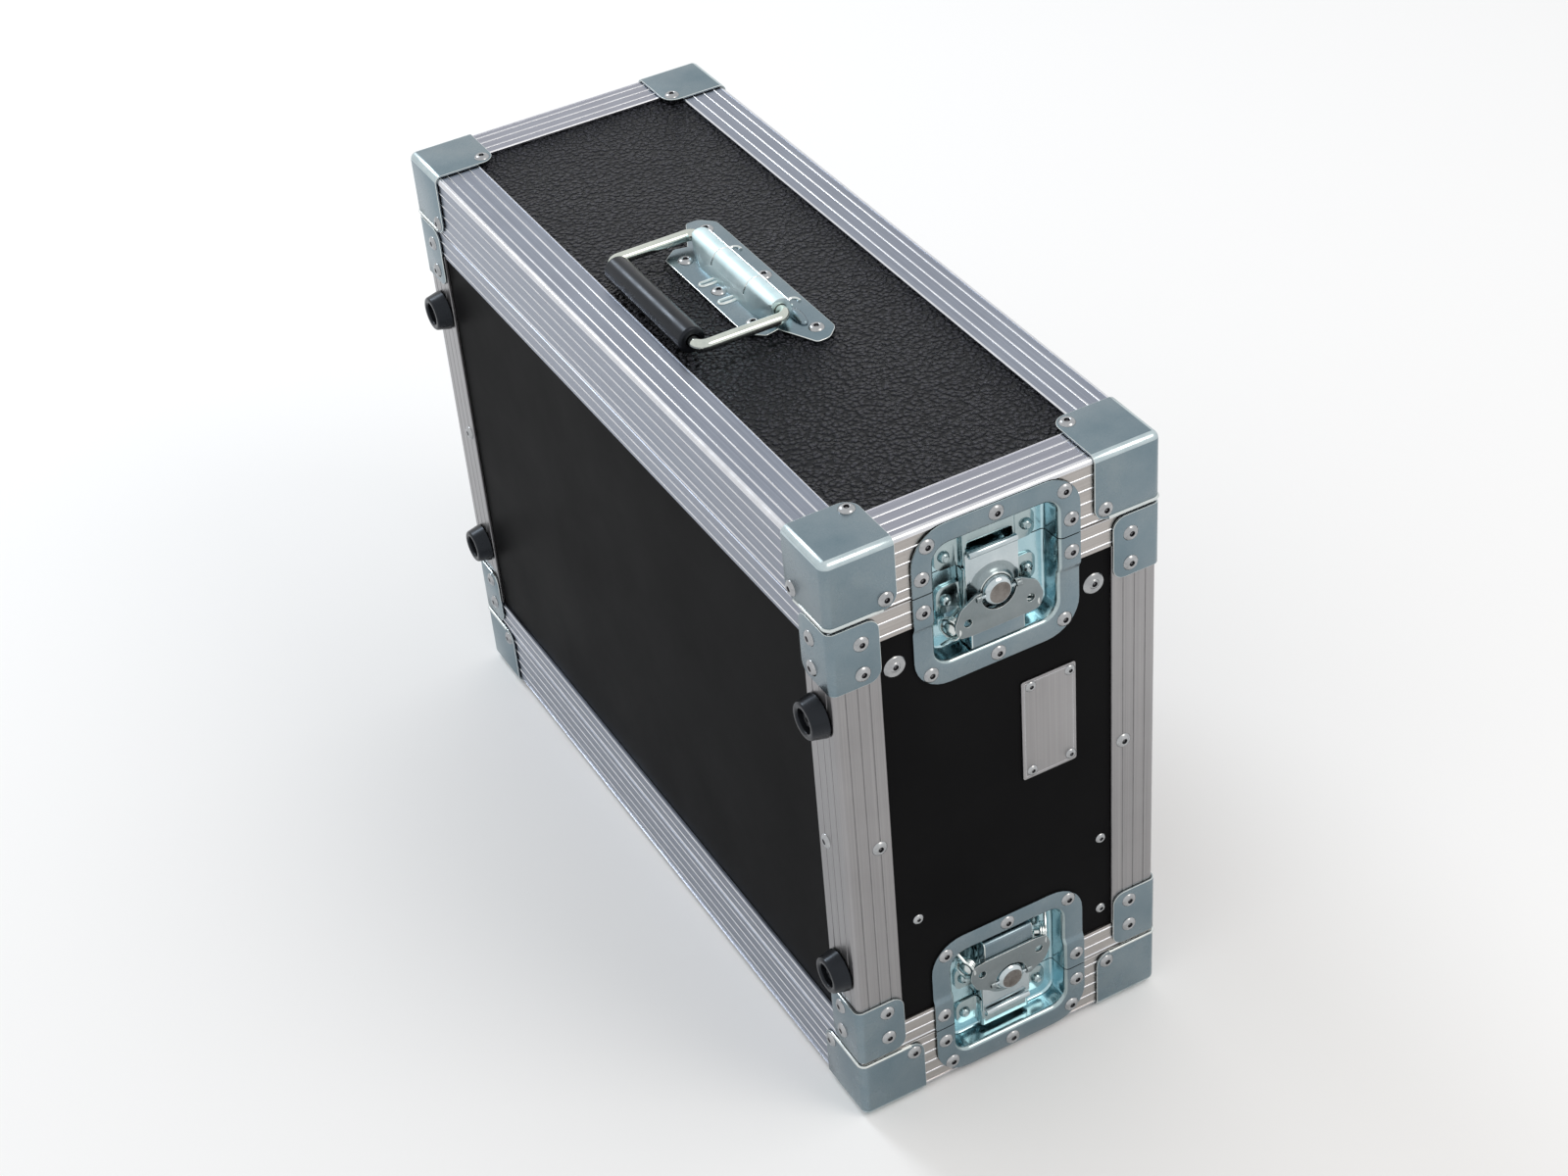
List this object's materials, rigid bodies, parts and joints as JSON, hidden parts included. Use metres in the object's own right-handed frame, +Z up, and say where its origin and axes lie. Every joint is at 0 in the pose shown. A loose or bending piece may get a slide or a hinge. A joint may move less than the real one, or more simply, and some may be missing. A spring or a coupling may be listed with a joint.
{
  "type": "microphone case",
  "caption": "Upright flight case with aluminium edging, lift-off front and rear lids, recessed butterfly latches, a folding bail handle and rack rails inside.",
  "frame": {"origin": "middle of the base, on the surface that the case stands on, centred on the whole part", "axes": "+X along the case towards the end with the name plate, +Y from the rubber feet towards the back, +Z up from the rear lid to the front lid with the handle"},
  "size_m": [0.5416, 0.2222, 0.4326],
  "materials": {
    "aluminium_edging": "satin, extruded with fine ribs",
    "zinc_sheet": "zinc plated, satin",
    "zinc_rod": "bright zinc plated",
    "black_board": "smooth black laminate on plywood",
    "leather_grain_board": "black leather-grain covering on plywood",
    "steel_rail": "black powder coat",
    "black_rubber": "matte moulded"
  },
  "bodies": {
    "case_body": {"body_panel_back": "black_board", "body_panel_feet_side": "black_board", "end_panel_right": "black_board", "end_panel_left": "black_board", "edge_angle_right_back": "aluminium_edging", "edge_angle_right_feet_side": "aluminium_edging", "edge_angle_left_back": "aluminium_edging", "edge_angle_left_feet_side": "aluminium_edging", "front_rim": "aluminium_edging", "rear_rim": "aluminium_edging", "brace_front_right_back": "zinc_sheet", "brace_front_right_feet_side": "zinc_sheet", "brace_front_left_back": "zinc_sheet", "brace_front_left_feet_side": "zinc_sheet", "brace_rear_right_back": "zinc_sheet", "brace_rear_right_feet_side": "zinc_sheet", "brace_rear_left_back": "zinc_sheet", "brace_rear_left_feet_side": "zinc_sheet", "foot_front_right": "black_rubber", "foot_front_left": "black_rubber", "foot_rear_right": "black_rubber", "foot_rear_left": "black_rubber", "rack_rail_right": "steel_rail", "rack_rail_left": "steel_rail", "name_plate": "aluminium_edging", "latch_front_right_dish": "zinc_sheet", "latch_front_left_dish": "zinc_sheet", "latch_rear_right_dish": "zinc_sheet", "latch_rear_left_dish": "zinc_sheet"},
    "front_lid": {"front_lid_edging": "aluminium_edging", "front_lid_panel": "leather_grain_board", "lid_corner_front_right_back": "zinc_sheet", "lid_corner_front_right_feet_side": "zinc_sheet", "lid_corner_front_left_back": "zinc_sheet", "lid_corner_front_left_feet_side": "zinc_sheet", "latch_front_right_keeper_dish": "zinc_sheet", "latch_front_left_keeper_dish": "zinc_sheet", "handle_plate": "zinc_sheet"},
    "rear_lid": {"rear_lid_edging": "aluminium_edging", "rear_lid_panel": "leather_grain_board", "lid_corner_rear_right_back": "zinc_sheet", "lid_corner_rear_right_feet_side": "zinc_sheet", "lid_corner_rear_left_back": "zinc_sheet", "lid_corner_rear_left_feet_side": "zinc_sheet", "latch_rear_right_keeper_dish": "zinc_sheet", "latch_rear_left_keeper_dish": "zinc_sheet"},
    "handle": {"handle_bail": "zinc_rod", "handle_grip": "black_rubber"},
    "front_right_hub": {"latch_front_right_hub": "zinc_sheet"},
    "front_right_wing": {"latch_front_right_wing": "zinc_sheet"},
    "front_right_hook": {"latch_front_right_hook": "zinc_sheet"},
    "front_left_hub": {"latch_front_left_hub": "zinc_sheet"},
    "front_left_wing": {"latch_front_left_wing": "zinc_sheet"},
    "front_left_hook": {"latch_front_left_hook": "zinc_sheet"},
    "rear_right_hub": {"latch_rear_right_hub": "zinc_sheet"},
    "rear_right_wing": {"latch_rear_right_wing": "zinc_sheet"},
    "rear_right_hook": {"latch_rear_right_hook": "zinc_sheet"},
    "rear_left_hub": {"latch_rear_left_hub": "zinc_sheet"},
    "rear_left_wing": {"latch_rear_left_wing": "zinc_sheet"},
    "rear_left_hook": {"latch_rear_left_hook": "zinc_sheet"}
  },
  "joints": [
    {"name": "front_lid_lift", "type": "slide", "parent": "case_body", "child": "front_lid", "axis": [0, 0, 1], "range_m": [0, 0.25]},
    {"name": "rear_lid_lift", "type": "slide", "parent": "case_body", "child": "rear_lid", "axis": [0, 0, -1], "range_m": [0, 0.25]},
    {"name": "handle_fold", "type": "hinge", "parent": "front_lid", "child": "handle", "pos_m": [0, -0.00225, 0.4241], "axis": [-1, 0, 0], "range_deg": [0, 95]},
    {"name": "front_right_turn", "type": "hinge", "parent": "case_body", "child": "front_right_hub", "pos_m": [0.2675, 0.00375, 0.3572], "axis": [1, 0, 0], "range_deg": [0, 180]},
    {"name": "front_right_draw", "type": "slide", "parent": "case_body", "child": "front_right_hook", "axis": [0, 0, 1], "range_m": [0, 0.008]},
    {"name": "front_right_fold", "type": "hinge", "parent": "front_right_hub", "child": "front_right_wing", "pos_m": [0.2687, 0.00375, 0.3572], "axis": [0, -1, 0], "range_deg": [0, 90]},
    {"name": "front_left_turn", "type": "hinge", "parent": "case_body", "child": "front_left_hub", "pos_m": [-0.2675, 0.00375, 0.3572], "axis": [-1, 0, 0], "range_deg": [0, 180]},
    {"name": "front_left_draw", "type": "slide", "parent": "case_body", "child": "front_left_hook", "axis": [0, 0, 1], "range_m": [0, 0.008]},
    {"name": "front_left_fold", "type": "hinge", "parent": "front_left_hub", "child": "front_left_wing", "pos_m": [-0.2687, 0.00375, 0.3572], "axis": [0, 1, 0], "range_deg": [0, 90]},
    {"name": "rear_right_turn", "type": "hinge", "parent": "case_body", "child": "rear_right_hub", "pos_m": [0.2675, 0.00375, 0.0634], "axis": [1, 0, 0], "range_deg": [0, 180]},
    {"name": "rear_right_draw", "type": "slide", "parent": "case_body", "child": "rear_right_hook", "axis": [0, 0, -1], "range_m": [0, 0.008]},
    {"name": "rear_right_fold", "type": "hinge", "parent": "rear_right_hub", "child": "rear_right_wing", "pos_m": [0.2687, 0.00375, 0.0634], "axis": [0, 1, 0], "range_deg": [0, 90]},
    {"name": "rear_left_turn", "type": "hinge", "parent": "case_body", "child": "rear_left_hub", "pos_m": [-0.2675, 0.00375, 0.0634], "axis": [-1, 0, 0], "range_deg": [0, 180]},
    {"name": "rear_left_draw", "type": "slide", "parent": "case_body", "child": "rear_left_hook", "axis": [0, 0, -1], "range_m": [0, 0.008]},
    {"name": "rear_left_fold", "type": "hinge", "parent": "rear_left_hub", "child": "rear_left_wing", "pos_m": [-0.2687, 0.00375, 0.0634], "axis": [0, -1, 0], "range_deg": [0, 90]}
  ],
  "couplings": [
    {"joint": "front_right_draw", "follows": "front_right_turn", "m_per_rad": 0.002546},
    {"joint": "front_left_draw", "follows": "front_left_turn", "m_per_rad": 0.002546},
    {"joint": "rear_right_draw", "follows": "rear_right_turn", "m_per_rad": 0.002546},
    {"joint": "rear_left_draw", "follows": "rear_left_turn", "m_per_rad": 0.002546}
  ]
}
